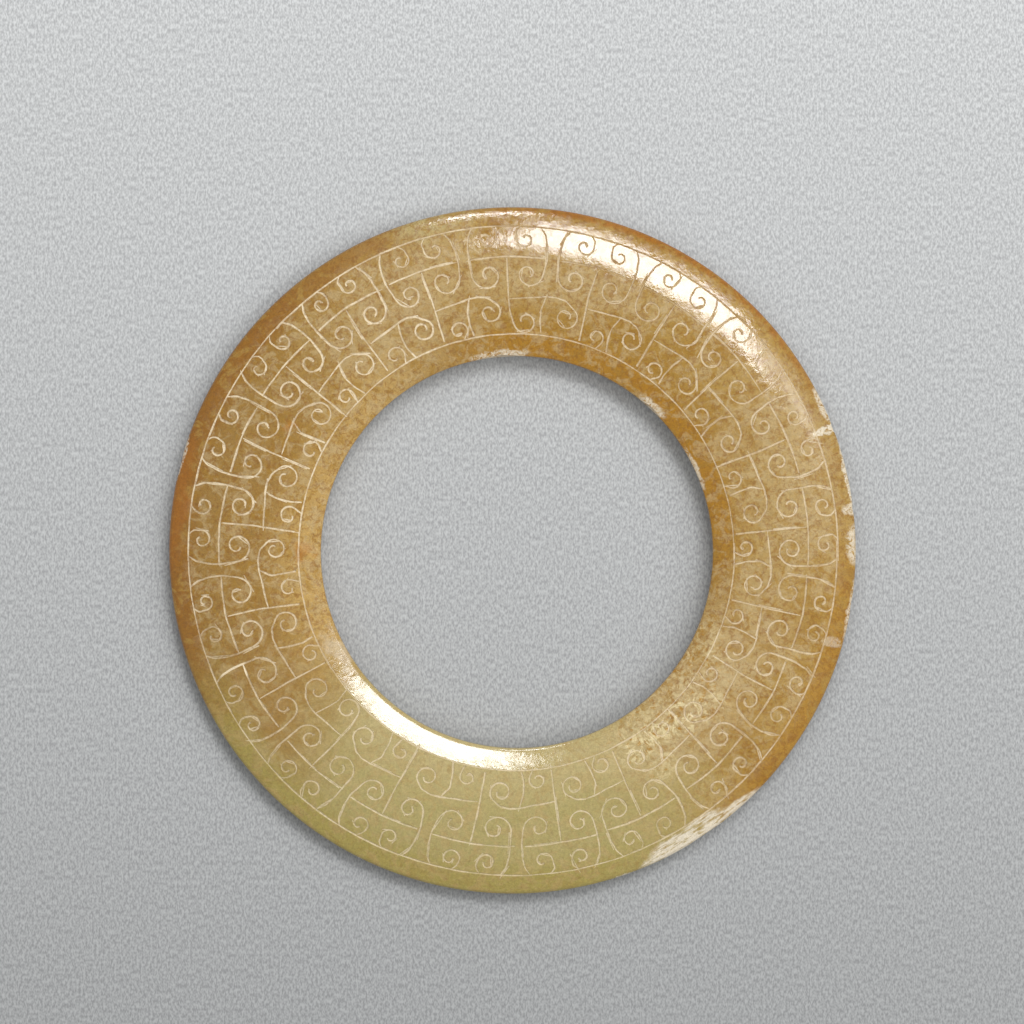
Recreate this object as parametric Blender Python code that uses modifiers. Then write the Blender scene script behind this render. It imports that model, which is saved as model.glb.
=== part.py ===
"""Jade huan disc: a flat ring of jade, thick at its crest and thin at its rim, with an incised
band of interlocking T-scrolls between two border lines on its upper face.

Metres, +Z up. The ring lies on the worn crest of its lower face. The origin is on the ground,
below the middle of the rim. The bore was drilled a little off centre, and the crest, the border
lines and the scrolls shift with it.
"""

import math
import random

import bmesh
import bpy
from mathutils import Euler, Matrix, Vector

# Sizes of the ring
OUTER_DIAMETER = 0.0900
BORE_DIAMETER = 0.0513
BORE_OFF_CENTRE = (0.00057, -0.00022)
CREST_THICKNESS = 0.0048
CREST_REACH = 0.0084  # from the bore's edge out to the crest
RESTING_FLAT = 0.0018  # width of the worn crest on the lower face, on which the ring lies
BORE_WALL_HEIGHT = 0.0033
BEVEL_WIDTH = 0.00285  # plain bevel between the bore and the inner border line
SHOULDER_DROP = 0.00012  # the inner border line lies this far below the crest
OUTER_BAND_WIDTH = 0.0025  # plain band between the outer border line and the rim
RIM_ROUND = 0.0007  # radius of the rounded rim
RIM_SLOPE = math.radians(20)  # slope of a face where it meets the rim's round

# Sizes of the lines
LINE_WIDTH = 0.00038
BORDER_WIDTH = 0.00044
WIRE_LIFT = 0.00006  # the wires that cut the lines lie this far above the face

# Layout of the scrolls round the ring
UNITS = 21
FIRST_STEM = math.radians(4.6)
DRIFT = math.radians(0.86)  # the units crowd and spread by this much
DRIFT_SIDE = math.radians(26)
# Degrees by which each stem strays from its place, from the one beside +X round to the left
STEM_STRAYS = (-0.7, -0.2, 0.6, 0, -0.4, 0.7, 0.8, 0.4, -0.4, -0.9, -0.8)
STEM_STRAYS += (0.5, 0.7, 0.1, -0.5, 0.3, 0.6, -0.4, 0.3, 0.9, -0.8)
WAVER = 0.012  # how far a line strays, as a share of the band's height
STEM_RUNS_ON = (5, 13)  # units whose stem runs on into the small curl beside it

# Places inside a unit. Sideways ones are pitches from the stem, and heights are shares of the
# carved band, 0 at the inner border line and 1 at the outer one. A volute has its centre, and a
# roll has its first and last radii as shares of the band.
BAR_HEIGHT = 0.715
BAR_END = 0.41
SIDE_LINE = 0.43
BRACKET_TOP = 0.35
BRACKET_SIDE = 0.70
BRACKET_VOLUTE = (0.235, 0.548)
BRACKET_ROLL = (0.118, 0.050)
HOOK_TOP = 0.115
HOOK_VOLUTE = (0.19, 0.88)
HOOK_ROLL = (0.088, 0.042)
ARM_START = 0.325
ARM_END = (-0.52, 0.365)
CROOK_VOLUTE = (-0.735, 0.205)
CROOK_ROLL = (0.112, 0.050)
PROP_TOP = (-0.45, 0.36)
PROP_FOOT = -0.43
CURL_FOOT = -0.27
CURL_VOLUTE = (-0.222, 0.105)
CURL_ROLL = (0.076, 0.040)
LONG_CURL_ROLL = (0.105, 0.040)
LONG_CURL_START = 0.22
VOLUTE_CLOSING = 1.6  # above 1, a volute keeps its width at first and closes late

# Fineness of the facets
STEPS = 2 * UNITS
STEP_SHIFT = -0.04  # the facets' edges pass beside the stems, by this share of a pitch
UPPER_SLOPE = (0.46,)  # where the outer slope bends, as shares of the way to its border line
LOWER_SLOPE = (0.33, 0.67)
RIM_POINTS = 2
FLATNESS = math.radians(1.2)  # facets that differ by less than this are joined

# Damage: degrees round from +X, length along the edge, depth into it
RIM_CHIPS = (
    (7, 0.0016, 0.00020),
    (21, 0.0024, 0.00018),
    (166, 0.0046, 0.00024),
    (304, 0.0060, 0.00022),
    (351, 0.0030, 0.00018),
)
BORE_CHIPS = (
    (47, 0.0030, 0.00022),
    (95, 0.0044, 0.00020),
)
CHIP_BLUNTNESS = 4  # a chip's hollow is this many times as wide as it is deep
CHIP_HEIGHT = 0.0020

# Worked out from the sizes above
RIM_RADIUS = OUTER_DIAMETER / 2
BORE_RADIUS = BORE_DIAMETER / 2
RING_WIDTH = RIM_RADIUS - BORE_RADIUS
OUTER_BORDER = RING_WIDTH - OUTER_BAND_WIDTH
BAND = OUTER_BORDER - BEVEL_WIDTH
CREST_PLACE = (CREST_REACH - BEVEL_WIDTH) / BAND  # the crest, as a height in the band
PITCH = math.tau / UNITS
MIDDLE = CREST_THICKNESS / 2  # height of the plane that halves the ring
ROUND_START = RING_WIDTH - RIM_ROUND * (1 - math.sin(RIM_SLOPE))
ROUND_HEIGHT = RIM_ROUND * math.cos(RIM_SLOPE)
SLOPE_RUN = ROUND_START - CREST_REACH
SLOPE_FALL = MIDDLE - ROUND_HEIGHT
SLOPE_POWER = math.tan(RIM_SLOPE) * SLOPE_RUN / SLOPE_FALL
TINY = 0.000001


def clear_scene():
    for thing in list(bpy.data.objects):
        bpy.data.objects.remove(thing)


def new_collection(name):
    collection = bpy.data.collections.new(name)
    bpy.context.scene.collection.children.link(collection)
    return collection


def jade():
    material = bpy.data.materials.new("jade")
    material.use_nodes = True
    shader = material.node_tree.nodes["Principled BSDF"]
    shader.inputs["Base Color"].default_value = (0.44, 0.27, 0.09, 1)
    shader.inputs["Roughness"].default_value = 0.22
    shader.inputs["Metallic"].default_value = 0
    return material


def evaluated_mesh(thing):
    graph = bpy.context.evaluated_depsgraph_get()
    return bpy.data.meshes.new_from_object(thing.evaluated_get(graph))


# The ring's section. Reach is the distance outwards from the bore's edge.


def rise(reach, flat=0):
    """Height of a face above the middle plane, where its crest has a flat of this width."""
    if reach < BEVEL_WIDTH:
        foot = BORE_WALL_HEIGHT / 2
        return foot + (MIDDLE - SHOULDER_DROP - foot) * reach / BEVEL_WIDTH
    if reach < CREST_REACH - flat:
        shoulder = CREST_REACH - flat - BEVEL_WIDTH
        return MIDDLE - SHOULDER_DROP * (CREST_REACH - flat - reach) / shoulder
    if reach < CREST_REACH:
        return MIDDLE
    share = min(1, (reach - CREST_REACH) / SLOPE_RUN)
    return MIDDLE - SLOPE_FALL * share**SLOPE_POWER


def bends(slope, flat=0):
    """The bends of a face between the places of its border lines."""
    places = [CREST_REACH - flat, CREST_REACH] if flat else [CREST_REACH]
    places += [CREST_REACH + (OUTER_BORDER - CREST_REACH) * share for share in slope]
    return [(place, rise(place, flat)) for place in places]


def border_notch(reach):
    """Section of a border line: a V with its inner lip, its root and its outer lip."""
    half = BORDER_WIDTH / 2
    return [
        (reach - half, rise(reach - half)),
        (reach, rise(reach) - half),
        (reach + half, rise(reach + half)),
    ]


def upper_section():
    """The upper face, from the bore to the start of the rim's round."""
    section = [(0, rise(0))]
    section += border_notch(BEVEL_WIDTH)
    section += bends(UPPER_SLOPE)
    section += border_notch(OUTER_BORDER)
    section.append((ROUND_START, ROUND_HEIGHT))
    return section


def lower_section():
    """The lower face, which is plain, as its depth below the middle plane."""
    section = [(0, rise(0)), (BEVEL_WIDTH, rise(BEVEL_WIDTH))]
    section += bends(LOWER_SLOPE, RESTING_FLAT)
    section.append((ROUND_START, ROUND_HEIGHT))
    return section


def rim_section():
    """The rim's round, from just beyond its start to its middle."""
    section = []
    for step in range(1, RIM_POINTS + 1):
        slope = RIM_SLOPE + (math.pi / 2 - RIM_SLOPE) * step / RIM_POINTS
        reach = RING_WIDTH - RIM_ROUND * (1 - math.sin(slope))
        section.append((reach, RIM_ROUND * math.cos(slope)))
    return section


def whole_section():
    """Once round the ring's section, out over its upper face and back under its lower one."""
    upper = upper_section() + rim_section()
    lower = lower_section() + rim_section()[:-1]
    return upper + [(reach, -depth) for reach, depth in reversed(lower)]


# The plain ring


def off_centre(reach):
    """Sideways shift of a circle at this reach: all of it at the bore, none at the rim."""
    return Vector(BORE_OFF_CENTRE) * (1 - reach / RING_WIDTH)


def on_plan(angle, reach):
    """A place seen from above, as x and y."""
    radius = BORE_RADIUS + reach
    return Vector((radius * math.cos(angle), radius * math.sin(angle))) + off_centre(reach)


def laid_out(angle):
    """Where the carver's eye put an angle that measuring would have made an even share."""
    return angle + DRIFT * math.cos(angle - DRIFT_SIDE)


def turned_mesh(collection):
    """The ring's section, turned about the bore's axis."""
    section = whole_section()
    profile = bpy.data.meshes.new("section")
    points = [(BORE_RADIUS + reach, 0, height) for reach, height in section]
    edges = [(number, (number + 1) % len(points)) for number in range(len(points))]
    profile.from_pydata(points, edges, [])
    blank = bpy.data.objects.new("section", profile)
    collection.objects.link(blank)
    turn = blank.modifiers.new("turn", "SCREW")
    turn.axis = "Z"
    turn.steps = turn.render_steps = STEPS
    turn.use_merge_vertices = True
    turn.merge_threshold = TINY
    mesh = evaluated_mesh(blank)
    bpy.data.objects.remove(blank)
    return mesh


def is_outline(edge):
    """Whether an edge runs along the rim's round or along an edge of the bore."""
    start, end = [vertex.co for vertex in edge.verts]
    radius = start.xy.length
    runs_round = abs(start.z - end.z) < TINY and abs(radius - end.xy.length) < TINY
    at_edge = radius < BORE_RADIUS + TINY or radius > BORE_RADIUS + ROUND_START - TINY
    return runs_round and at_edge


def refine_outline(mesh):
    """Halves the facets' sides round the rim and the bore, where they would show."""
    shape = bmesh.new()
    shape.from_mesh(mesh)
    outline = [edge for edge in shape.edges if is_outline(edge)]
    halved = bmesh.ops.subdivide_edges(shape, edges=outline, cuts=1)
    for new in halved["geom_inner"]:
        if isinstance(new, bmesh.types.BMVert):
            new.co.xy /= math.cos(math.pi / STEPS)
    shape.to_mesh(mesh)
    shape.free()


def plain_ring(collection, material):
    """The ring with its border lines only, laid out by eye round its bore."""
    mesh = turned_mesh(collection)
    refine_outline(mesh)
    for vertex in mesh.vertices:
        even = math.atan2(vertex.co.y, vertex.co.x)
        angle = laid_out(FIRST_STEM + STEP_SHIFT * PITCH + even)
        vertex.co.xy = on_plan(angle, vertex.co.xy.length - BORE_RADIUS)
        vertex.co.z += MIDDLE
    mesh.materials.append(material)
    mesh.shade_smooth()
    mesh.set_sharp_from_angle(angle=math.radians(20))
    ring = bpy.data.objects.new("jade_disc", mesh)
    collection.objects.link(ring)
    return ring


# The scrolls. Each line is a list of places, and a place is an angle and a height in the band.


def waver(what, unit):
    """A share from -1 to 1 that differs from line to line, and is the same each run."""
    return random.Random(f"{what} {unit}").uniform(-1, 1)


def stem_angle(unit):
    stray = STEM_STRAYS[unit % len(STEM_STRAYS)]
    return laid_out(FIRST_STEM + unit * PITCH) + math.radians(stray)


def beside(unit, pitches):
    """The angle this many pitches from a unit's stem. A pitch there is the way to the next stem,
    so a unit is as wide as its neighbours leave it."""
    stem = stem_angle(unit)
    neighbour = stem_angle(unit + 1 if pitches > 0 else unit - 1)
    return stem + abs(pitches) * (neighbour - stem)


def by_hand(unit, pitches, height, what):
    """A place beside a unit's stem that strays a little."""
    stray = WAVER * waver(what, unit)
    return beside(unit, pitches) + stray * BAND / BORE_RADIUS, height + stray


def volute(centre, start, sweep, wide, eye, steps):
    """A spiral that closes in on its centre. Start and sweep are degrees, 90 points at the rim,
    and the first and last radii are shares of the band's height."""
    angle, height = centre
    radius = BORE_RADIUS + BEVEL_WIDTH + height * BAND
    line = []
    for step in range(steps + 1):
        share = step / steps
        way = math.radians(start + sweep * share)
        size = wide + (eye - wide) * share**VOLUTE_CLOSING
        line.append((angle + size * math.cos(way) * BAND / radius, height + size * math.sin(way)))
    return line


def mirrored(start, sweep, side):
    """A volute's start and sweep on the left of a stem, where side is -1, or on its right."""
    return (start, sweep) if side > 0 else (180 - start, -sweep)


def bar(unit):
    """The crossbar of the T, between the two brackets."""
    return [by_hand(unit, side * BAR_END, BAR_HEIGHT, "bar") for side in (-1, 1)]


def bracket(unit, side):
    """A side line that hangs from the outer border line and rolls up inwards at its foot."""
    sideways, height = BRACKET_VOLUTE
    centre = by_hand(unit, side * sideways, height, f"bracket {side}")
    line = [
        (beside(unit, side * BRACKET_TOP), 1),
        (beside(unit, side * SIDE_LINE), BRACKET_SIDE),
    ]
    return line + volute(centre, *mirrored(-25, -280, side), *BRACKET_ROLL, 4)


def hook(unit, side):
    """A curl that drops from the outer border line by the stem and rolls up outwards."""
    sideways, height = HOOK_VOLUTE
    centre = by_hand(unit, side * sideways, height, f"hook {side}")
    start = (beside(unit, side * HOOK_TOP), 1)
    return [start] + volute(centre, *mirrored(175, 275, side), *HOOK_ROLL, 4)


def stem(unit):
    """The long upright from the crossbar, over the crest, down to the inner border line."""
    line = [(beside(unit, 0), height) for height in (BAR_HEIGHT, CREST_PLACE)]
    if unit in STEM_RUNS_ON:
        centre = by_hand(unit, *CURL_VOLUTE, "curl")
        line.append((beside(unit, 0), LONG_CURL_START))
        return line + volute(centre, -20, -350, *LONG_CURL_ROLL, 5)
    return line + [by_hand(unit, 0.015, 0.03, "foot")]


def crook(unit):
    """The arm that leaves the stem sideways and rolls up under itself."""
    sideways, height = ARM_END
    centre = by_hand(unit, *CROOK_VOLUTE, "crook")
    arm = [(beside(unit, 0), ARM_START), (beside(unit, sideways), height)]
    return arm + volute(centre, 120, 330, *CROOK_ROLL, 5)


def prop(unit):
    """The short upright under the crook's arm."""
    sideways, height = PROP_TOP
    return [(beside(unit, sideways), height), by_hand(unit, PROP_FOOT, 0, "prop")]


def curl(unit):
    """The small curl that rises from the inner border line between the prop and the stem."""
    centre = by_hand(unit, *CURL_VOLUTE, "curl")
    return [(beside(unit, CURL_FOOT), 0)] + volute(centre, 185, -275, *CURL_ROLL, 4)


def engraved_lines():
    """Every kind of line, with the lines of all the units."""
    every = range(UNITS)
    return {
        "bars": [bar(unit) for unit in every],
        "brackets": [bracket(unit, side) for unit in every for side in (-1, 1)],
        "hooks": [hook(unit, side) for unit in every for side in (-1, 1)],
        "stems": [stem(unit) for unit in every],
        "crooks": [crook(unit) for unit in every],
        "props": [prop(unit) for unit in every],
        "curls": [curl(unit) for unit in every if unit not in STEM_RUNS_ON],
    }


# The cuts


def facet_rise(reach):
    """Height of the upper face's flat facets above the middle plane."""
    knots = [(BEVEL_WIDTH, rise(BEVEL_WIDTH)), *bends(UPPER_SLOPE)]
    knots.append((OUTER_BORDER, rise(OUTER_BORDER)))
    for (near, low), (far, high) in zip(knots, knots[1:]):
        if reach <= far:
            return low + (high - low) * (reach - near) / (far - near)
    return rise(OUTER_BORDER)


def on_face(angle, height):
    """The place of a cutting wire's middle, just above the upper face."""
    reach = BEVEL_WIDTH + height * BAND
    return (*on_plan(angle, reach), MIDDLE + facet_rise(reach) + WIRE_LIFT)


def add_cutter(name, mesh, collection):
    cutter = bpy.data.objects.new(name, mesh)
    cutter.hide_render = True
    cutter.display_type = "WIRE"
    collection.objects.link(cutter)
    return cutter


def weld_caps(mesh):
    shape = bmesh.new()
    shape.from_mesh(mesh)
    bmesh.ops.remove_doubles(shape, verts=shape.verts, dist=TINY)
    shape.to_mesh(mesh)
    shape.free()


def line_cutter(name, lines, collection):
    """Lines as square wires on edge, which plough a V into the face."""
    curve = bpy.data.curves.new(name, "CURVE")
    curve.dimensions = "3D"
    curve.twist_mode = "Z_UP"
    curve.bevel_depth = LINE_WIDTH / 2 + WIRE_LIFT
    curve.bevel_resolution = 0
    curve.use_fill_caps = True
    for line in lines:
        spline = curve.splines.new("POLY")
        spline.points.add(len(line) - 1)
        for point, (angle, height) in zip(spline.points, line):
            point.co = (*on_face(angle, height), 1)
    wires = bpy.data.objects.new(name + "_wires", curve)
    collection.objects.link(wires)
    mesh = evaluated_mesh(wires)
    weld_caps(mesh)
    cutter = add_cutter(name, mesh, collection)
    cutter.matrix_world = wires.matrix_world
    bpy.data.objects.remove(wires)
    return cutter


def chip_cutter(name, chips, reach, side, height, collection):
    """Eggs that bite into a round edge. Side is 1 at the rim and -1 at the bore."""
    shape = bmesh.new()
    for degrees, length, depth in chips:
        angle = math.radians(degrees)
        across = depth * CHIP_BLUNTNESS
        share = 1 - depth / across
        along = length / 2 / math.sqrt(1 - share**2)
        outwards = Vector((math.cos(angle), math.sin(angle)))
        centre = on_plan(angle, reach) + outwards * side * (across - depth)
        size = (across, along, CHIP_HEIGHT / 2)
        matrix = Matrix.LocRotScale((*centre, height), Euler((0, 0, angle)), size)
        bmesh.ops.create_icosphere(shape, subdivisions=2, radius=1, matrix=matrix)
    mesh = bpy.data.meshes.new(name)
    shape.to_mesh(mesh)
    shape.free()
    return add_cutter(name, mesh, collection)


def cut(ring, cutters):
    """Makes the cuts, then joins the slivers that they leave in faces that are flat."""
    for cutter in cutters:
        difference = ring.modifiers.new(cutter.name, "BOOLEAN")
        difference.operation = "DIFFERENCE"
        difference.object = cutter
    clean = ring.modifiers.new("clean", "DECIMATE")
    clean.decimate_type = "DISSOLVE"
    clean.angle_limit = FLATNESS


def main():
    clear_scene()
    parts = new_collection("jade huan disc")
    cutters = new_collection("cutters")
    ring = plain_ring(parts, jade())
    lines = engraved_lines()
    bore_edge = MIDDLE + BORE_WALL_HEIGHT / 2
    cut(
        ring,
        [
            *[line_cutter(name, lines[name], cutters) for name in lines],
            chip_cutter("rim_chips", RIM_CHIPS, RING_WIDTH, 1, MIDDLE, cutters),
            chip_cutter("bore_chips", BORE_CHIPS, 0, -1, bore_edge, cutters),
        ],
    )


main()
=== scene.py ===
"""The looks of the jade huan disc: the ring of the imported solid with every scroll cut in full, in
honey, amber and celadon jade, on a pale floor under a soft box.

Metres, +Z up, +X to the photo's right and +Y to its top, as in the solid. Sizes and the layout
of the scrolls repeat the solid's own.
"""

import math
import random

import bpy
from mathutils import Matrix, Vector, noise

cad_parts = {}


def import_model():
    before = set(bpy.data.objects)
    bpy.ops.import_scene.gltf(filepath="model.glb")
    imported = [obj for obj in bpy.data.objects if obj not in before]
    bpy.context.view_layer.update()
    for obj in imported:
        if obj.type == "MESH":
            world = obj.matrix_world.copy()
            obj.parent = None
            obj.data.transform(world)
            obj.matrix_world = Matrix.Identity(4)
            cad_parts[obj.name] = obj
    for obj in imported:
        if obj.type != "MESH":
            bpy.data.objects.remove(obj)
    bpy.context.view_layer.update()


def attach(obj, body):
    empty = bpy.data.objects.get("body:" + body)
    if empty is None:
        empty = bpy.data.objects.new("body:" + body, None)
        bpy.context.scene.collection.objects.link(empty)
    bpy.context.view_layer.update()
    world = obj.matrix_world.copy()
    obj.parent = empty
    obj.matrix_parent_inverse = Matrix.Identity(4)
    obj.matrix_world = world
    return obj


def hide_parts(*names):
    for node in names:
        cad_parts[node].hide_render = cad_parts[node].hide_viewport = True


# Sizes of the ring
OUTER_DIAMETER = 0.0900
BORE_DIAMETER = 0.0513
BORE_OFF_CENTRE = (0.00057, -0.00022)
CREST_THICKNESS = 0.0048
CREST_REACH = 0.0084
RESTING_FLAT = 0.0018
BORE_WALL_HEIGHT = 0.00314
BEVEL_WIDTH = 0.00285
BEVEL_SWELL = 0.00003  # how far the bevel's middle stands proud of a straight bevel
SHOULDER_DROP = 0.00004
OUTER_BAND_WIDTH = 0.0025
RIM_ROUND = 0.0007
RIM_SLOPE = math.radians(20)
BORE_ARRIS = 0.00012  # the bore's worn edges
TURN_STEPS = 360
UNEVEN = 0.000014  # how far hand polishing dips below a true face
TINY = 0.000002

# Sizes of the strokes
STROKE_RADIUS = 0.00016
STROKE_LIFT = 0.00005  # the cutting wires' middles lie this far above the face
BORDER_WEIGHT = 0.88  # a border line's width, as a share of a scroll's
STRIDE = 0.0011  # a stroke is guided at least this often
TREMOR = 0.00005
PRESSURE = 0.30  # how much a stroke swells and thins
SCRATCH_EVERY = 5  # a line is gone over with a short cut at every so many of its places
SCRATCHED = 0.75  # the share of those places that got one
SCRATCH_ASIDE = 0.011  # how far beside it they may lie, as a share of the band
SCRATCH_OVERRUN = 0.30  # how far they run on at both ends, as a share of their length
LOWER_LINE_WIDTH = 0.0004

# Layout of the scrolls
UNITS = 21
FIRST_STEM = math.radians(4.6)
DRIFT = math.radians(0.86)
DRIFT_SIDE = math.radians(26)
STEM_STRAYS = (-0.7, -0.2, 0.6, 0, -0.4, 0.7, 0.8, 0.4, -0.4, -0.9, -0.8)
STEM_STRAYS += (0.5, 0.7, 0.1, -0.5, 0.3, 0.6, -0.4, 0.3, 0.9, -0.8)
WAVER = 0.012
STEM_RUNS_ON = (5, 13)
BAR_HEIGHT = 0.715
BAR_END = 0.42
BRACKET_VOLUTE = (0.235, 0.548)
HOOK_VOLUTE = (0.19, 0.88)
CROOK_VOLUTE = (-0.735, 0.205)
CURL_VOLUTE = (-0.222, 0.105)

# Worked out from the sizes above
RIM_RADIUS = OUTER_DIAMETER / 2
BORE_RADIUS = BORE_DIAMETER / 2
RING_WIDTH = RIM_RADIUS - BORE_RADIUS
OUTER_BORDER = RING_WIDTH - OUTER_BAND_WIDTH
BAND = OUTER_BORDER - BEVEL_WIDTH
PITCH = math.tau / UNITS
MIDDLE = CREST_THICKNESS / 2
ROUND_START = RING_WIDTH - RIM_ROUND * (1 - math.sin(RIM_SLOPE))
ROUND_HEIGHT = RIM_ROUND * math.cos(RIM_SLOPE)
SLOPE_RUN = ROUND_START - CREST_REACH
SLOPE_FALL = MIDDLE - ROUND_HEIGHT
SLOPE_POWER = math.tan(RIM_SLOPE) * SLOPE_RUN / SLOPE_FALL

# Damage: degrees round from +X, length along the edge, depth into it
RIM_CHIPS = (
    (7, 0.0016, 0.00020),
    (21, 0.0024, 0.00018),
    (166, 0.0046, 0.00024),
    (304, 0.0060, 0.00022),
    (351, 0.0030, 0.00018),
)
BORE_CHIPS = (
    (47, 0.0030, 0.00022),
    (95, 0.0044, 0.00020),
)
CHIP_BLUNTNESS = 4
CHIP_HEIGHT = 0.0020


# The ring's section. Reach is the distance outwards from the bore's edge.


def rise(reach, flat=0):
    """Height of a face above the middle plane, where its crest has a flat of this width."""
    if reach < BEVEL_WIDTH:
        foot = BORE_WALL_HEIGHT / 2
        swell = BEVEL_SWELL * math.sin(math.pi * max(0, reach) / BEVEL_WIDTH)
        return foot + (MIDDLE - SHOULDER_DROP - foot) * reach / BEVEL_WIDTH + swell
    if reach < CREST_REACH - flat:
        shoulder = CREST_REACH - flat - BEVEL_WIDTH
        return MIDDLE - SHOULDER_DROP * (CREST_REACH - flat - reach) / shoulder
    if reach < CREST_REACH:
        return MIDDLE
    share = min(1, (reach - CREST_REACH) / SLOPE_RUN)
    return MIDDLE - SLOPE_FALL * share**SLOPE_POWER


def spread(start, end, count):
    """Evenly spaced places after the start, up to the end."""
    return [start + (end - start) * step / count for step in range(1, count + 1)]


def bore_edge():
    foot = BORE_WALL_HEIGHT / 2
    return [
        (0, foot - BORE_ARRIS),
        (BORE_ARRIS * 0.3, foot - BORE_ARRIS * 0.3),
        (BORE_ARRIS, rise(BORE_ARRIS)),
    ]


def upper_section():
    reaches = spread(BORE_ARRIS, BEVEL_WIDTH, 6)
    reaches += spread(BEVEL_WIDTH, CREST_REACH, 8)
    reaches += spread(CREST_REACH, OUTER_BORDER, 17)
    reaches += spread(OUTER_BORDER, ROUND_START, 4)
    return bore_edge() + [(reach, rise(reach)) for reach in reaches]


def lower_notch(reach):
    """One of the two plain border lines on the underside."""
    half = LOWER_LINE_WIDTH / 2
    return [
        (reach - half, rise(reach - half, RESTING_FLAT)),
        (reach, rise(reach, RESTING_FLAT) - half),
        (reach + half, rise(reach + half, RESTING_FLAT)),
    ]


def lower_section():
    section = bore_edge()
    section += [(place, rise(place)) for place in spread(BORE_ARRIS, BEVEL_WIDTH, 3)[:-1]]
    section += lower_notch(BEVEL_WIDTH)
    worn_flat = [CREST_REACH - RESTING_FLAT, CREST_REACH]
    slope = spread(CREST_REACH, OUTER_BORDER, 11)[:-1]
    section += [(place, rise(place, RESTING_FLAT)) for place in worn_flat + slope]
    section += lower_notch(OUTER_BORDER)
    section += [(place, rise(place)) for place in spread(OUTER_BORDER, ROUND_START, 3)[1:]]
    return section


def rim_section(count):
    """The rim's round, from just beyond its start to its middle."""
    slopes = spread(RIM_SLOPE, math.pi / 2, count)
    return [
        (RING_WIDTH - RIM_ROUND * (1 - math.sin(slope)), RIM_ROUND * math.cos(slope))
        for slope in slopes
    ]


def whole_section():
    """Once round the ring's section, out over its upper face and back under its lower one."""
    upper = upper_section() + rim_section(6)
    lower = lower_section() + rim_section(4)[:-1]
    return upper + [(reach, -depth) for reach, depth in reversed(lower)]


# Places on the ring


def on_plan(angle, reach):
    """A place seen from above. Circles shift off centre towards the bore."""
    radius = BORE_RADIUS + reach
    shift = Vector(BORE_OFF_CENTRE) * (1 - reach / RING_WIDTH)
    return Vector((radius * math.cos(angle), radius * math.sin(angle))) + shift


def polish_dip(plan):
    """How far the polish dips below a true face at a place seen from above."""
    coarse = noise.noise(Vector((*plan, 0)) * 150)
    fine = noise.noise(Vector((*plan, 0.3)) * 420)
    return UNEVEN * (1 + 0.7 * coarse + 0.3 * fine)


# Modelling by hand


def deselect():
    bpy.ops.object.select_all(action="DESELECT")


def take(thing):
    """Makes an object the only one selected, and the active one."""
    deselect()
    thing.select_set(True)
    bpy.context.view_layer.objects.active = thing


def tidy_shell(thing):
    """Closes an object's seams and turns its faces outwards."""
    take(thing)
    bpy.ops.object.mode_set(mode="EDIT")
    bpy.ops.mesh.select_all(action="SELECT")
    bpy.ops.mesh.remove_doubles(threshold=TINY)
    bpy.ops.mesh.normals_make_consistent(inside=False)
    bpy.ops.object.mode_set(mode="OBJECT")


def turned_ring(stones):
    """The ring before it is engraved: its section spun about the bore's axis."""
    section = whole_section()
    deselect()
    bpy.ops.mesh.primitive_circle_add(vertices=len(section), radius=BORE_RADIUS)
    ring = bpy.context.object
    ring.name = "carved_jade_ring"
    for vertex, (reach, height) in zip(ring.data.vertices, section):
        vertex.co = (BORE_RADIUS + reach, 0, height)
    bpy.ops.object.mode_set(mode="EDIT")
    bpy.ops.mesh.select_all(action="SELECT")
    bpy.ops.mesh.spin(steps=TURN_STEPS, angle=math.tau, center=(0, 0, 0), axis=(0, 0, 1))
    bpy.ops.object.mode_set(mode="OBJECT")
    tidy_shell(ring)
    for vertex in ring.data.vertices:
        angle = math.atan2(vertex.co.y, vertex.co.x)
        vertex.co.xy = on_plan(angle, vertex.co.xy.length - BORE_RADIUS)
        if vertex.co.z > 0:
            vertex.co.z -= polish_dip(vertex.co.xy)
        vertex.co.z += MIDDLE
    for stone in stones:
        ring.data.materials.append(stone)
    return ring


# The scrolls. Each line is a list of places, and a place is an angle and a height in the band,
# 0 at the inner border line and 1 at the outer one.


def waver(what, unit):
    """A share from -1 to 1 that differs from line to line, and is the same each run."""
    return random.Random(f"{what} {unit}").uniform(-1, 1)


def stem_angle(unit):
    stray = STEM_STRAYS[unit % len(STEM_STRAYS)]
    even = FIRST_STEM + unit * PITCH
    return even + DRIFT * math.cos(even - DRIFT_SIDE) + math.radians(stray)


def beside(unit, pitches):
    """The angle this many pitches from a unit's stem. A pitch there is the way to the next stem,
    so a unit is as wide as its neighbours leave it."""
    stem = stem_angle(unit)
    neighbour = stem_angle(unit + 1 if pitches > 0 else unit - 1)
    return stem + abs(pitches) * (neighbour - stem)


def by_hand(unit, pitches, height, what):
    """A place beside a unit's stem that strays a little."""
    stray = WAVER * waver(what, unit)
    return beside(unit, pitches) + stray * BAND / BORE_RADIUS, height + stray


def volute(centre, start, sweep, radii, what, unit):
    """A spiral round its centre. Start and sweep are degrees, 90 points at the rim, and the
    radii, shares of the band's height, are met at even steps of the sweep."""
    angle, height = centre
    radius = BORE_RADIUS + BEVEL_WIDTH + height * BAND
    size = 1 + 0.09 * waver(what + " size", unit)
    sweep *= 0.95 + 0.11 * waver(what + " sweep", unit)
    steps = max(8, round(abs(sweep) / 27))
    line = []
    for step in range(steps + 1):
        share = step / steps
        way = math.radians(start + sweep * share)
        along = share * (len(radii) - 1)
        stage = min(int(along), len(radii) - 2)
        reach = radii[stage] + (radii[stage + 1] - radii[stage]) * (along - stage)
        reach *= size
        sideways = reach * math.cos(way) * BAND / radius
        line.append((angle + sideways, height + reach * math.sin(way)))
    return line


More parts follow.
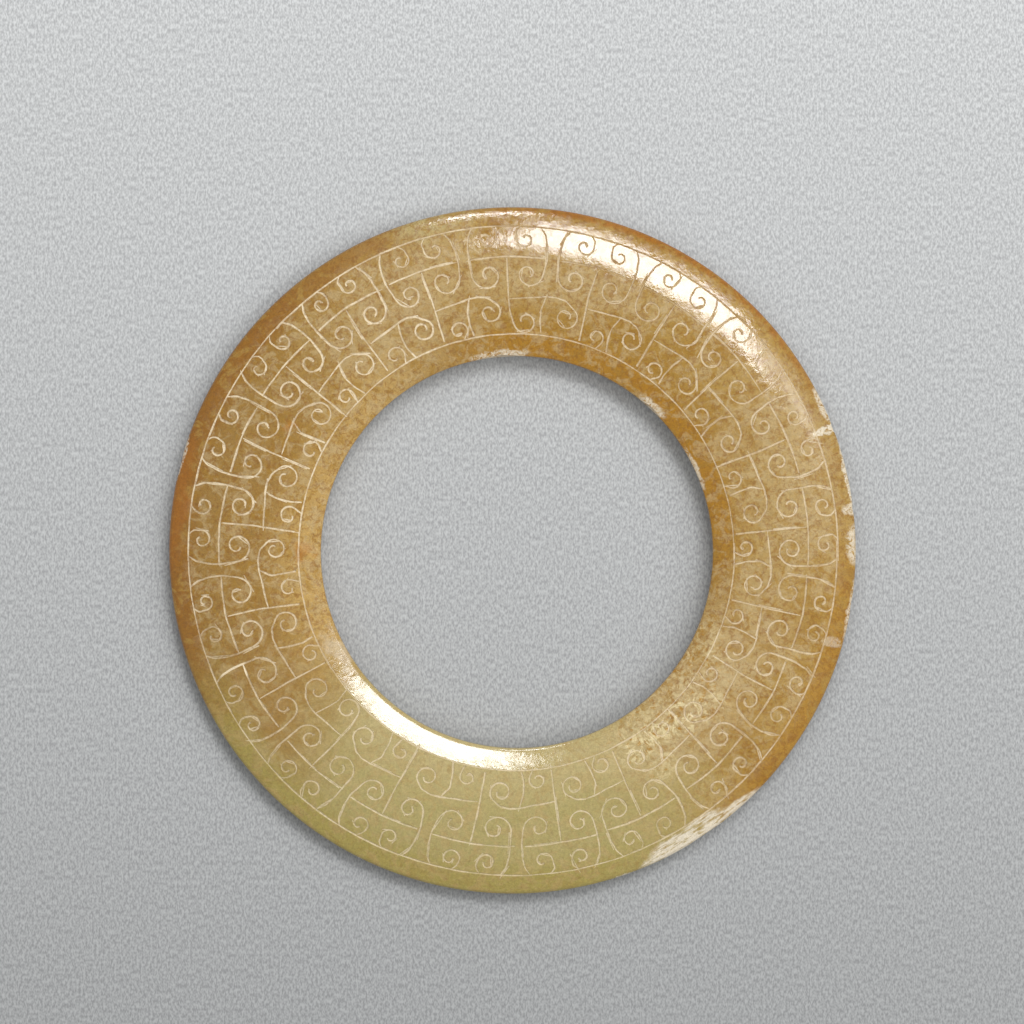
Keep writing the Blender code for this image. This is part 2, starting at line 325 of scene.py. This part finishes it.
def mirrored(start, sweep, side):
    """A volute's start and sweep on the left of a stem, where side is -1, or on its right."""
    return (start, sweep) if side > 0 else (180 - start, -sweep)


def bar(unit):
    """The crossbar of the T, between the two brackets."""
    ends = [by_hand(unit, side * BAR_END, BAR_HEIGHT, f"bar {side}") for side in (-1, 1)]
    middle = (beside(unit, 0), BAR_HEIGHT + 0.006 + 0.006 * waver("bow", unit))
    return [ends[0], middle, ends[1]]


def bracket(unit, side):
    """A side line that hangs from the outer border line and rolls up inwards at its foot."""
    name = f"bracket {side}"
    sideways, height = BRACKET_VOLUTE
    centre = by_hand(unit, side * sideways, height, name)
    line = [
        (beside(unit, side * 0.350), 1.0),
        (beside(unit, side * 0.402), 0.925),
        (beside(unit, side * 0.430), 0.82),
        (beside(unit, side * 0.438), 0.70),
    ]
    radii = (0.146, 0.112, 0.088, 0.080, 0.077, 0.069, 0.050, 0.028)
    return line + volute(centre, *mirrored(2, -440, side), radii, name, unit)


def hook(unit, side):
    """A curl that drops from the outer border line by the stem and rolls up outwards."""
    name = f"hook {side}"
    sideways, height = HOOK_VOLUTE
    centre = by_hand(unit, side * sideways, height, name)
    line = [(beside(unit, side * 0.150), 1.0), (beside(unit, side * 0.100), 0.955)]
    radii = (0.082, 0.069, 0.060, 0.054, 0.042, 0.024)
    return line + volute(centre, *mirrored(185, 335, side), radii, name, unit)


def stem(unit):
    """The long upright from the crossbar down to the inner border line."""
    line = [(beside(unit, 0), BAR_HEIGHT - 0.01), by_hand(unit, 0.006, 0.42, "stem")]
    if unit in STEM_RUNS_ON:
        centre = by_hand(unit, *CURL_VOLUTE, "curl")
        line.append((beside(unit, 0), 0.22))
        radii = (0.112, 0.104, 0.094, 0.080, 0.060, 0.036)
        return line + volute(centre, -12, -390, radii, "long curl", unit)
    return line + [by_hand(unit, 0.015, 0.03, "foot")]


def crook(unit):
    """The arm that leaves the stem sideways and rolls up under itself."""
    centre = by_hand(unit, *CROOK_VOLUTE, "crook")
    line = [
        (beside(unit, -0.005), 0.325),
        (beside(unit, -0.290), 0.340),
        (beside(unit, -0.467), 0.360),
        (beside(unit, -0.600), 0.364),
        (beside(unit, -0.720), 0.344),
    ]
    radii = (0.102, 0.094, 0.085, 0.077, 0.069, 0.053, 0.030)
    return line + volute(centre, 143, 405, radii, "crook", unit)


def prop(unit):
    """The short upright under the crook's arm."""
    return [
        (beside(unit, -0.465), 0.352),
        by_hand(unit, -0.412, 0.240, "prop"),
        (beside(unit, -0.410), 0.120),
        by_hand(unit, -0.445, 0.015, "prop foot"),
    ]


def curl(unit):
    """The small curl that rises from the inner border line between the prop and the stem."""
    centre = by_hand(unit, *CURL_VOLUTE, "curl")
    radii = (0.080, 0.071, 0.066, 0.061, 0.050, 0.030)
    line = [(beside(unit, -0.275), 0.0)]
    return line + volute(centre, 200, -330, radii, "curl", unit)


def border_strokes(height, what, count):
    """A border line as the strokes that it was cut in, each a little past the next one."""
    strokes = []
    for number in range(count):
        start = math.tau * (number - 0.08) / count
        end = math.tau * (number + 1.08) / count
        stray = 0.004 * waver(what, number)
        lean = 0.004 * waver(what + " lean", number)
        strokes.append([(start, height + stray - lean), (end, height + stray + lean)])
    return strokes


# The cuts


def on_face(angle, height):
    """The place of a cutting wire's middle, just above the upper face."""
    reach = BEVEL_WIDTH + height * BAND
    plan = on_plan(angle, reach)
    return Vector((*plan, MIDDLE + rise(reach) - polish_dip(plan) + STROKE_LIFT))


def paced(line):
    """The same line with enough places for it to follow the face and waver."""
    places = [line[0]]
    for (angle, height), (next_angle, next_height) in zip(line, line[1:]):
        radius = BORE_RADIUS + BEVEL_WIDTH + height * BAND
        far = math.hypot((next_angle - angle) * radius, (next_height - height) * BAND)
        strides = max(1, math.ceil(far / STRIDE))
        for step in range(1, strides + 1):
            share = step / strides
            between = height + (next_height - height) * share
            places.append((angle + (next_angle - angle) * share, between))
    return places


def scratched(lines, name):
    """Short straight cuts that go over the lines again, a little aside and past their curves."""
    cuts = []
    for number, line in enumerate(lines):
        places = paced(line)
        what = f"{name} {number}"
        offset = int(SCRATCH_EVERY * (0.5 + 0.49 * waver(what, number)))
        for turn, first in enumerate(range(offset, len(places) - 2, SCRATCH_EVERY)):
            if abs(waver(what + " left out", turn)) > SCRATCHED:
                continue
            start, end = places[first], places[first + 2]
            aside = SCRATCH_ASIDE * waver(what + " aside", turn)
            sideways = SCRATCH_ASIDE * waver(what + " sideways", turn) * BAND / BORE_RADIUS
            run = [(end[axis] - start[axis]) * SCRATCH_OVERRUN for axis in (0, 1)]
            cuts.append(
                [
                    (start[0] - run[0] + sideways, start[1] - run[1] + aside),
                    (end[0] + run[0] + sideways, end[1] + run[1] + aside),
                ]
            )
    return cuts


def add_stroke(curve, places, weight, what):
    """Adds a wavering, swelling wire through places to a curve."""
    spline = curve.splines.new("BEZIER")
    spline.bezier_points.add(len(places) - 1)
    seed = 50 * waver(what, len(places))
    for number, (point, place) in enumerate(zip(spline.bezier_points, places)):
        shake = noise.noise_vector(Vector((number * 0.7, seed, 0)))
        point.co = on_face(*place) + TREMOR * Vector((shake.x, shake.y, 0))
        point.handle_left_type = point.handle_right_type = "AUTO"
        taper = 0.6 if number == 0 else 1
        point.radius = weight * taper * (1 + PRESSURE * shake.z)


def engrave(ring, name, lines, cut_stone, weight=1.0):
    """Cuts one kind of line into the ring, with wires that lie in its upper face."""
    deselect()
    bpy.ops.curve.primitive_bezier_curve_add()
    wires = bpy.context.object
    wires.name = name
    curve = wires.data
    curve.splines.clear()
    curve.dimensions = "3D"
    curve.twist_mode = "Z_UP"
    curve.resolution_u = 2
    curve.bevel_depth = STROKE_RADIUS
    curve.bevel_resolution = 1
    curve.use_fill_caps = True
    for number, line in enumerate(lines):
        own = weight * (1 + 0.12 * waver(name + " weight", number))
        add_stroke(curve, paced(line), own, f"{name} {number}")
    bpy.ops.object.convert(target="MESH")
    wires = bpy.context.object
    wires.data.materials.clear()
    wires.data.materials.append(cut_stone)
    tidy_shell(wires)
    cut_away(ring, wires)


def cut_away(ring, cutter):
    cut = ring.modifiers.new(cutter.name, "BOOLEAN")
    cut.operation = "DIFFERENCE"
    cut.solver = "MANIFOLD"
    cut.object = cutter
    take(ring)
    bpy.ops.object.modifier_apply(modifier=cut.name)
    bpy.data.objects.remove(cutter)


def engrave_all(ring, cut_stone):
    every = range(UNITS)
    sides = [(unit, side) for unit in every for side in (-1, 1)]
    inner = border_strokes(0.0, "inner border", 12)
    outer = border_strokes(1.0, "outer border", 16)
    for name, strokes in (("inner_border", inner), ("outer_border", outer)):
        for half in (0, 1):
            engrave(ring, f"{name}_{half}", strokes[half::2], cut_stone, BORDER_WEIGHT)
    scrolls = {
        "bars": [bar(unit) for unit in every],
        "brackets": [bracket(*place) for place in sides],
        "hooks": [hook(*place) for place in sides],
        "stems": [stem(unit) for unit in every],
        "crooks": [crook(unit) for unit in every],
        "props": [prop(unit) for unit in every],
        "curls": [curl(unit) for unit in every if unit not in STEM_RUNS_ON],
    }
    for name, lines in scrolls.items():
        engrave(ring, name, lines, cut_stone)
        engrave(ring, name + "_again", scratched(lines, name), cut_stone, 0.72)


def bite(name, chips, reach, side, height, broken):
    """Rough eggs that bite chips out of a round edge. Side is 1 at the rim, -1 at the bore."""
    eggs = []
    for degrees, length, depth in chips:
        angle = math.radians(degrees)
        across = depth * CHIP_BLUNTNESS
        share = 1 - depth / across
        along = length / 2 / math.sqrt(1 - share**2)
        outwards = Vector((math.cos(angle), math.sin(angle)))
        centre = on_plan(angle, reach) + outwards * side * (across - depth)
        deselect()
        bpy.ops.mesh.primitive_ico_sphere_add(
            subdivisions=4,
            radius=1,
            location=(*centre, height),
            rotation=(0, 0, angle),
            scale=(across, along, CHIP_HEIGHT / 2),
        )
        egg = bpy.context.object
        bpy.ops.object.transform_apply()
        for vertex in egg.data.vertices:
            rough = noise.noise(vertex.co * 2600) + 0.6 * noise.noise(vertex.co * 6000)
            vertex.co.xy += outwards * 0.00005 * rough
        eggs.append(egg)
    deselect()
    for egg in eggs:
        egg.select_set(True)
    bpy.context.view_layer.objects.active = eggs[0]
    bpy.ops.object.join()
    eggs[0].name = name
    eggs[0].data.materials.append(broken)
    return eggs[0]


# Materials


def tone(red, green, blue):
    """A colour as it looks on a screen under the studio's light, in the renderer's values."""
    shares = [value / 255 for value in (red, green, blue)]
    linear = [
        share / 12.92 if share <= 0.04045 else ((share + 0.055) / 1.055) ** 2.4
        for share in shares
    ]
    return (*[max(0.004, share - SHEEN) / STUDIO_LIGHT for share in linear], 1)


STUDIO_LIGHT = 1.33
SHEEN = 0.026  # what the polish adds everywhere
HONEY = tone(184, 150, 84)
PALE_HONEY = tone(202, 166, 100)
DEEP_HONEY = tone(170, 130, 58)
BROWN = tone(166, 130, 70)
EARTH = tone(146, 98, 34)
AMBER = tone(158, 110, 14)
OCHRE = tone(180, 131, 42)
CELADON = tone(182, 168, 110)
OLIVE = tone(174, 158, 88)
PALE_CELADON = tone(198, 181, 128)
MILK_AND_SHEEN = tone(204, 180, 134)
RUSSET = tone(172, 110, 34)
ORANGE = tone(194, 124, 50)
# Chalk white; the same white also paints the bevel's highlight and part of the rim's reflection.
CHALK_AND_GLINT_WHITE = tone(240, 228, 204)
VEIN_CREAM = tone(236, 218, 168)
CUT_CREAM = tone(248, 230, 196)

# Chalky spots, partly painted reflection along the rim's right-hand edge: degrees, share of the way
# out, length, width, how white
CHALK_AND_GLINT_SPOTS = (
    # The rim spots from 350 to 25 degrees are partly chalk and partly painted reflection: white
    # where the side fill would shine in the rim's round.
    (1, 1.0, 0.0032, 0.0016, 0.8),
    (7, 0.985, 0.0010, 0.0014, 0.8),
    (13, 1.0, 0.0060, 0.0006, 1.0),
    (21, 0.97, 0.0006, 0.0032, 0.9),
    (25, 1.0, 0.0030, 0.0010, 0.8),
    (25, 0.0, 0.0036, 0.0006, 0.7),
    (47, 0.02, 0.0026, 0.0008, 0.8),
    (95, 0.01, 0.0046, 0.0008, 0.8),
    (164, 1.0, 0.0040, 0.0005, 0.8),
    (350, 1.0, 0.0050, 0.0007, 0.8),
    (344, 0.92, 0.0009, 0.0016, 0.4),
    (289, 1.0, 0.0018, 0.0003, 0.8),
)
VEINED_CLOUDS = (
    (314, 0.16, 0.0130, 0.0056, 0.45),
    (316, 0.26, 0.0038, 0.0028, 0.95),
    (308, 0.21, 0.0034, 0.0022, 0.75),
    (302, 0.23, 0.0032, 0.0022, 0.80),
    (322, 0.38, 0.0032, 0.0022, 0.50),
    (305, 0.45, 0.0034, 0.0024, 0.45),
    (334, 0.08, 0.0050, 0.0028, 0.35),
)
ABRASION = 303  # degrees round to the rubbed and weathered stretch of the outer band
ABRASION_SPOTS = (
    (296, 0.985, 0.0038, 0.0008, 0.9),
    (299, 0.955, 0.0046, 0.0015, 1.0),
    (304, 0.945, 0.0052, 0.0016, 1.0),
    (310, 0.985, 0.0056, 0.0010, 0.9),
)


class Recipe:
    """A material's node tree, written as a recipe."""

    def __init__(self, name):
        self.material = bpy.data.materials.new(name)
        self.material.use_nodes = True
        self.tree = self.material.node_tree
        self.shader = self.tree.nodes["Principled BSDF"]
        self.place = self.add("ShaderNodeTexCoord").outputs["Object"]

    def add(self, kind, inputs=None, **settings):
        node = self.tree.nodes.new(kind)
        for name, value in settings.items():
            setattr(node, name, value)
        for name, value in (inputs or {}).items():
            self.feed(node.inputs[name], value)
        return node

    def feed(self, socket, value):
        if isinstance(value, bpy.types.NodeSocket):
            self.tree.links.new(value, socket)
        else:
            socket.default_value = value

    def maths(self, operation, *values, clamp=False):
        node = self.add("ShaderNodeMath", operation=operation, use_clamp=clamp)
        for socket, value in zip(node.inputs, values):
            self.feed(socket, value)
        return node.outputs[0]

    def mix(self, share, under, over, how="MIX"):
        node = self.add("ShaderNodeMix", data_type="RGBA", blend_type=how)
        self.feed(node.inputs[0], share)
        self.feed(node.inputs[6], under)
        self.feed(node.inputs[7], over)
        return node.outputs[2]

    def noise(self, place, scale, detail, roughness=0.55, distortion=0.0):
        node = self.add(
            "ShaderNodeTexNoise",
            {
                "Vector": place,
                "Scale": scale,
                "Detail": detail,
                "Roughness": roughness,
                "Distortion": distortion,
            },
        )
        return node.outputs[0]

    def ramp(self, value, low, high):
        """0 below the low value, 1 above the high one, and smooth between them."""
        inputs = {"Value": value, "From Min": low, "From Max": high}
        node = self.add("ShaderNodeMapRange", inputs, interpolation_type="SMOOTHSTEP")
        return node.outputs[0]

    def stirred(self, scale, strength):
        """Places moved about by noise, so that what is painted on them has a broken edge."""
        inputs = {"Vector": self.place, "Scale": scale, "Detail": 4.0, "Roughness": 0.6}
        stir = self.add("ShaderNodeTexNoise", inputs)
        centred = self.add("ShaderNodeVectorMath", operation="SUBTRACT")
        self.feed(centred.inputs[0], stir.outputs["Color"])
        centred.inputs[1].default_value = (0.5, 0.5, 0.5)
        scaled = self.add("ShaderNodeVectorMath", operation="SCALE")
        self.feed(scaled.inputs[0], centred.outputs[0])
        scaled.inputs["Scale"].default_value = strength
        moved = self.add("ShaderNodeVectorMath", operation="ADD")
        self.feed(moved.inputs[0], self.place)
        self.feed(moved.inputs[1], scaled.outputs[0])
        return moved.outputs[0]

    def patch(self, place, degrees, share, along, across, fullness=1.0):
        """A soft round or long patch on the ring: 1 in its middle and 0 at its edge."""
        angle = math.radians(degrees)
        spot = on_plan(angle, share * RING_WIDTH)
        mapping = self.add(
            "ShaderNodeMapping",
            {
                "Vector": place,
                "Location": (*spot, CREST_THICKNESS * 0.75),
                "Rotation": (0, 0, angle),
                "Scale": (across, along, 0.02),
            },
            vector_type="TEXTURE",
        )
        ball = self.add(
            "ShaderNodeTexGradient", {"Vector": mapping.outputs[0]}, gradient_type="SPHERICAL"
        )
        return self.ramp(ball.outputs["Fac"], 0.0, 0.75 / fullness)

    def outwards(self, place):
        """How far out a place lies, 0 at the bore and 1 at the rim."""
        level = self.add("ShaderNodeVectorMath", operation="MULTIPLY")
        self.feed(level.inputs[0], place)
        level.inputs[1].default_value = (1, 1, 0)
        length = self.add("ShaderNodeVectorMath", operation="LENGTH")
        self.feed(length.inputs[0], level.outputs[0])
        inputs = {
            "Value": length.outputs["Value"],
            "From Min": BORE_RADIUS,
            "From Max": RIM_RADIUS,
        }
        return self.add("ShaderNodeMapRange", inputs).outputs[0]


def chalk_and_glint(recipe, colour, place):
    """Chalk in small spots and in a veined cloud, where the stone has weathered; along the rim's
    right-hand edge the spots are partly painted reflection of the side fill.
    """
    ragged = recipe.ramp(recipe.noise(recipe.place, 1500.0, 4.0, 0.7, 1.2), 0.36, 0.56)
    rubbed = recipe.add(
        "ShaderNodeMapping",
        {
            "Vector": recipe.place,
            "Rotation": (0, 0, math.radians(ABRASION)),
            "Scale": (1, 6, 1),
        },
        vector_type="TEXTURE",
    )
    streaks = recipe.ramp(recipe.noise(rubbed.outputs[0], 2600.0, 3.0, 0.75), 0.34, 0.58)
    for spots, breaks in ((CHALK_AND_GLINT_SPOTS, ragged), (ABRASION_SPOTS, streaks)):
        for degrees, share, along, across, white in spots:
            spot = recipe.patch(place, degrees, share, along, across, 2.0)
            worn = recipe.maths("MULTIPLY", recipe.maths("MULTIPLY", spot, breaks), white)
            colour = recipe.mix(worn, colour, CHALK_AND_GLINT_WHITE)
    veins = recipe.ramp(recipe.noise(recipe.place, 700.0, 5.0, 0.74, 1.6), 0.47, 0.58)
    flecks = recipe.ramp(recipe.noise(recipe.place, 1100.0, 4.0, 0.7, 0.4), 0.54, 0.66)
    for degrees, share, along, across, white in VEINED_CLOUDS:
        cloud = recipe.patch(place, degrees, share, along, across, 1.5)
        dark = recipe.maths("MULTIPLY", recipe.maths("MULTIPLY", cloud, flecks), 0.7)
        colour = recipe.mix(dark, colour, OCHRE)
        cloudy = recipe.maths("MULTIPLY", recipe.maths("MULTIPLY", cloud, veins), white)
        colour = recipe.mix(cloudy, colour, VEIN_CREAM)
    return colour


def jade_colour(recipe):
    """The stone's colour, built up from broad zones to fine grain, with a painted sheen and a
    painted highlight among its washes.
    """
    stirred = recipe.stirred(260.0, 0.0055)
    faint = recipe.stirred(900.0, 0.0011)
    out = recipe.outwards(faint)
    broad = recipe.noise(recipe.place, 120.0, 4.0)
    cloud = recipe.noise(recipe.place, 560.0, 5.0, 0.66, 1.0)
    mottle = recipe.noise(recipe.place, 1300.0, 4.0, 0.7, 1.0)
    fine = recipe.noise(recipe.place, 2600.0, 2.0, 0.7)
    grain = recipe.noise(recipe.place, 6500.0, 1.0, 0.6)

    def wash(colour, over, degrees, share, along, across, strength, fullness=1.0):
        mask = recipe.patch(stirred, degrees, share, along, across, fullness)
        return recipe.mix(recipe.maths("MULTIPLY", mask, strength), colour, over)

    def band(colour, over, low, high, degrees, along, strength):
        """A wash that keeps to a band between two shares of the way out."""
        ramp = recipe.ramp(out, low, high)
        side = recipe.patch(stirred, degrees, 0.5, along, 0.028, 1.6)
        mask = recipe.maths("MULTIPLY", recipe.maths("MULTIPLY", ramp, side), strength)
        return recipe.mix(mask, colour, over)

    colour = recipe.mix(recipe.ramp(broad, 0.42, 0.66), HONEY, DEEP_HONEY)
    colour = band(colour, DEEP_HONEY, 0.50, 0.22, 62, 0.034, 0.85)
    colour = wash(colour, CELADON, 253, 0.70, 0.046, 0.028, 1.0, 1.5)
    colour = wash(colour, CELADON, 290, 0.45, 0.022, 0.016, 0.7)
    colour = band(colour, PALE_CELADON, 0.50, 0.18, 262, 0.034, 0.9)
    colour = wash(colour, BROWN, 186, 0.66, 0.040, 0.022, 1.0, 1.4)
    colour = band(colour, PALE_HONEY, 0.42, 0.12, 168, 0.036, 0.95)
    colour = wash(colour, BROWN, 152, 0.66, 0.022, 0.016, 0.7)
    colour = wash(colour, MILK_AND_SHEEN, 114, 0.50, 0.016, 0.014, 0.45)
    colour = wash(colour, MILK_AND_SHEEN, 16, 0.62, 0.018, 0.012, 0.40)
    # Painted sheen: a paler milky wash just inward of the soft box's highlight, standing in for its
    # haze.
    colour = wash(colour, MILK_AND_SHEEN, 80, 0.52, 0.020, 0.006, 0.50)
    colour = wash(colour, MILK_AND_SHEEN, 335, 0.30, 0.018, 0.009, 0.50)
    colour = wash(colour, MILK_AND_SHEEN, 312, 0.25, 0.014, 0.008, 0.60)
    colour = band(colour, OLIVE, 0.70, 0.92, 245, 0.044, 0.9)
    colour = band(colour, AMBER, 0.76, 0.92, 168, 0.034, 0.95)
    colour = band(colour, AMBER, 0.80, 0.92, 128, 0.018, 0.60)
    colour = band(colour, OCHRE, 0.80, 0.92, 336, 0.024, 0.65)
    colour = band(colour, OCHRE, 0.20, 0.12, 50, 0.050, 1.0)
    colour = band(colour, RUSSET, 0.94, 0.98, 62, 0.030, 0.8)
    colour = wash(colour, PALE_CELADON, 104, 0.95, 0.008, 0.0035, 0.65)

    flow = recipe.noise(recipe.place, 240.0, 5.0, 0.6, 2.5)
    clear = recipe.patch(stirred, 256, 0.66, 0.050, 0.030, 1.8)
    murky = recipe.maths("SUBTRACT", 1.0, recipe.maths("MULTIPLY", clear, 0.65))
    veiled = recipe.maths("MULTIPLY", murky, recipe.ramp(out, 0.97, 0.84))

    def stain(colour, over, value, low, high, strength, mask):
        share = recipe.maths("MULTIPLY", recipe.ramp(value, low, high), strength)
        return recipe.mix(recipe.maths("MULTIPLY", share, mask), colour, over)

    rim = recipe.maths("MULTIPLY", murky, recipe.ramp(out, 0.85, 0.90))
    colour = stain(colour, PALE_CELADON, flow, 0.47, 0.60, 0.50, clear)
    colour = stain(colour, DEEP_HONEY, flow, 0.50, 0.60, 0.60, murky)
    colour = stain(colour, MILK_AND_SHEEN, cloud, 0.46, 0.60, 0.50, veiled)
    colour = stain(colour, EARTH, cloud, 0.50, 0.62, 0.45, rim)
    colour = stain(colour, HONEY, flow, 0.50, 0.60, 0.45, rim)
    colour = stain(colour, EARTH, mottle, 0.49, 0.62, 0.50, murky)
    colour = wash(colour, ORANGE, 150, 0.40, 0.0014, 0.0010, 0.35)
    colour = wash(colour, ORANGE, 180, 0.10, 0.0026, 0.0010, 0.35)
    # Painted highlight: a faint white wash on the bevel where its highlight begins.
    colour = wash(colour, CHALK_AND_GLINT_WHITE, 210, 0.08, 0.0044, 0.0014, 0.30)
    colour = wash(colour, RUSSET, 172, 0.96, 0.016, 0.0022, 0.6)
    colour = chalk_and_glint(recipe, colour, faint)
    speckle = recipe.maths("ADD", fine, grain)
    bright = recipe.add(
        "ShaderNodeMapRange",
        {"Value": speckle, "From Min": 0.7, "From Max": 1.3, "To Min": 0.84, "To Max": 1.19},
    ).outputs[0]
    grey = recipe.add("ShaderNodeCombineColor", {"Red": bright, "Green": bright, "Blue": bright})
    return recipe.mix(1.0, colour, grey.outputs[0], "MULTIPLY")


def cut_share(recipe, cream_share):
    """How much of a cut's cream shows: less where it is worn, and little under the soft box's
    highlight on the top, which is painted shade.
    """
    slow = recipe.ramp(recipe.noise(recipe.place, 330.0, 3.0), 0.36, 0.60)
    quick = recipe.ramp(recipe.noise(recipe.place, 2200.0, 3.0, 0.75), 0.32, 0.58)
    fresh = recipe.patch(recipe.place, 146, 0.60, 0.040, 0.030, 1.6)
    share = cream_share
    for part, least in ((slow, 0.55), (quick, 0.36), (fresh, 0.64)):
        kept = recipe.maths("MULTIPLY_ADD", part, 1 - least, least)
        share = recipe.maths("MULTIPLY", share, kept)
    whitest = recipe.patch(recipe.place, 203.5, 0.73, 0.0020, 0.0024, 2.0)
    share = recipe.maths("MAXIMUM", share, whitest)
    # Painted shade: the cuts keep little cream where the soft box's highlight lies, so they look
    # darker beside it.
    polished_and_highlit = recipe.patch(recipe.place, 66, 0.80, 0.030, 0.0055, 1.5)
    kept = recipe.maths("SUBTRACT", 1.0, recipe.maths("MULTIPLY", polished_and_highlit, 0.85))
    return recipe.maths("MULTIPLY", share, kept)


def jade(name, cream, cream_share, roughness):
    """Jade that a share of cream lightens where it is cut or broken."""
    recipe = Recipe(name)
    shader = recipe.shader
    colour = jade_colour(recipe)
    if cream_share:
        colour = recipe.mix(cut_share(recipe, cream_share), colour, cream)
    recipe.feed(shader.inputs["Base Color"], colour)
    wear = recipe.noise(recipe.place, 1000.0, 3.0, 0.72)
    rough = recipe.add(
        "ShaderNodeMapRange",
        {
            "Value": wear,
            "From Min": 0.40,
            "From Max": 0.70,
            "To Min": roughness,
            "To Max": roughness + 0.14,
        },
    )
    recipe.feed(shader.inputs["Roughness"], rough.outputs[0])
    waves = recipe.noise(recipe.place, 900.0, 3.0, 0.62)
    bump = recipe.add(
        "ShaderNodeBump", {"Strength": 0.13, "Distance": 0.00020, "Height": waves}
    )
    recipe.feed(shader.inputs["Normal"], bump.outputs[0])
    shader.inputs["IOR"].default_value = 1.61
    shader.inputs["Specular IOR Level"].default_value = 0.7
    return recipe.material


def floor_paint():
    """Pale paper with painted shade: darker towards the bottom of the picture and lighter towards
    the top, in place of the light's fall-off.
    """
    recipe = Recipe("pale_floor")
    upright = recipe.add(
        "ShaderNodeMapping",
        {"Vector": recipe.place, "Scale": (1, 2.2, 1)},
        vector_type="TEXTURE",
    )
    fibres = recipe.noise(upright.outputs[0], 3400.0, 1.0, 0.9)
    speckle = recipe.ramp(fibres, 0.25, 0.75)
    colour = recipe.mix(speckle, tone(175, 176, 177), tone(213, 215, 215))
    # Painted shade: the paper's colour is scaled from dark at the bottom of the picture to light at
    # the top.
    parts = recipe.add("ShaderNodeSeparateXYZ", {"Vector": recipe.place})
    shade = recipe.add(
        "ShaderNodeMapRange",
        {
            "Value": parts.outputs["Y"],
            "From Min": -0.075,
            "From Max": 0.075,
            "To Min": 0.71,
            "To Max": 1.20,
        },
    ).outputs[0]
    grey = recipe.add("ShaderNodeCombineColor", {"Red": shade, "Green": shade, "Blue": shade})
    colour = recipe.mix(1.0, colour, grey.outputs[0], "MULTIPLY")
    recipe.feed(recipe.shader.inputs["Base Color"], colour)
    recipe.shader.inputs["Roughness"].default_value = 1.0
    recipe.shader.inputs["Specular IOR Level"].default_value = 0.0
    return recipe.material


# Stage, lights and camera

FRAME_WIDTH = 0.1342  # what the picture takes in, across, at the height of the rim
CAMERA_OVER = (-0.00006, 0.00504)
LENS = 200.0
SENSOR = 36.0


def towards(azimuth, zenith, distance):
    """A place seen from the origin at this azimuth and zenith angle."""
    side = math.sin(math.radians(zenith)) * distance
    turn = math.radians(azimuth)
    up = math.cos(math.radians(zenith)) * distance
    return Vector((side * math.cos(turn), side * math.sin(turn), up))


def soft_box(name, azimuth, zenith, distance, width, height, power):
    """A rectangular light that faces the ring."""
    bpy.ops.object.light_add(type="AREA", location=towards(azimuth, zenith, distance))
    lamp = bpy.context.object
    lamp.name = name
    lamp.data.shape = "RECTANGLE"
    lamp.data.size = width
    lamp.data.size_y = height
    lamp.data.energy = power
    lamp.rotation_euler = lamp.location.to_track_quat("Z", "Y").to_euler()
    lamp.visible_camera = False
    return lamp


def add_floor():
    deselect()
    bpy.ops.mesh.primitive_plane_add(size=6, location=(0, 0, 0))
    floor = bpy.context.object
    floor.name = "floor"
    floor.data.materials.append(floor_paint())
    return floor


def add_lights():
    soft_box("soft_box", 64.5, 29.5, 1.50, 0.67, 0.375, 9.3)
    soft_box("wing", 28, 34.0, 1.50, 0.26, 0.14, 0.36)
    soft_box("edge_strip", 94, 46.0, 0.53, 0.11, 0.022, 0.15)
    fills = [
        soft_box("side_fill", 3, 41, 1.0, 0.80, 0.80, 4.0),
        soft_box("overhead_fill", 0, 0, 1.2, 2.4, 2.4, 10.0),
    ]
    for fill in fills:
        fill.visible_glossy = False
    world = bpy.data.worlds.new("studio")
    bpy.context.scene.world = world
    world.use_nodes = True
    back = world.node_tree.nodes["Background"]
    back.inputs["Color"].default_value = (1, 1, 1, 1)
    back.inputs["Strength"].default_value = 0.36


def add_camera():
    height = MIDDLE + FRAME_WIDTH * LENS / SENSOR
    bpy.ops.object.camera_add(location=(*CAMERA_OVER, height), rotation=(0, 0, 0))
    camera = bpy.context.object
    camera.data.lens = LENS
    camera.data.sensor_width = SENSOR
    camera.data.clip_start = 0.01
    bpy.context.scene.camera = camera


def main():
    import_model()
    polished_and_highlit = jade("polished_jade", CUT_CREAM, 0.0, 0.08)
    cut_stone = jade("engraved_jade", CUT_CREAM, 0.95, 0.50)
    broken = jade("broken_jade", CHALK_AND_GLINT_WHITE, 0.70, 0.60)
    ring = turned_ring((polished_and_highlit, cut_stone, broken))
    engrave_all(ring, cut_stone)
    cut_away(ring, bite("rim_chips", RIM_CHIPS, RING_WIDTH, 1, MIDDLE, broken))
    bore_top = MIDDLE + BORE_WALL_HEIGHT / 2
    cut_away(ring, bite("bore_chips", BORE_CHIPS, 0, -1, bore_top, broken))
    take(ring)
    bpy.ops.object.shade_smooth_by_angle(angle=math.radians(28))
    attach(ring, "root")
    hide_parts("jade_disc")
    add_floor()
    add_lights()
    add_camera()
    bpy.context.scene.view_settings.view_transform = "Standard"


main()
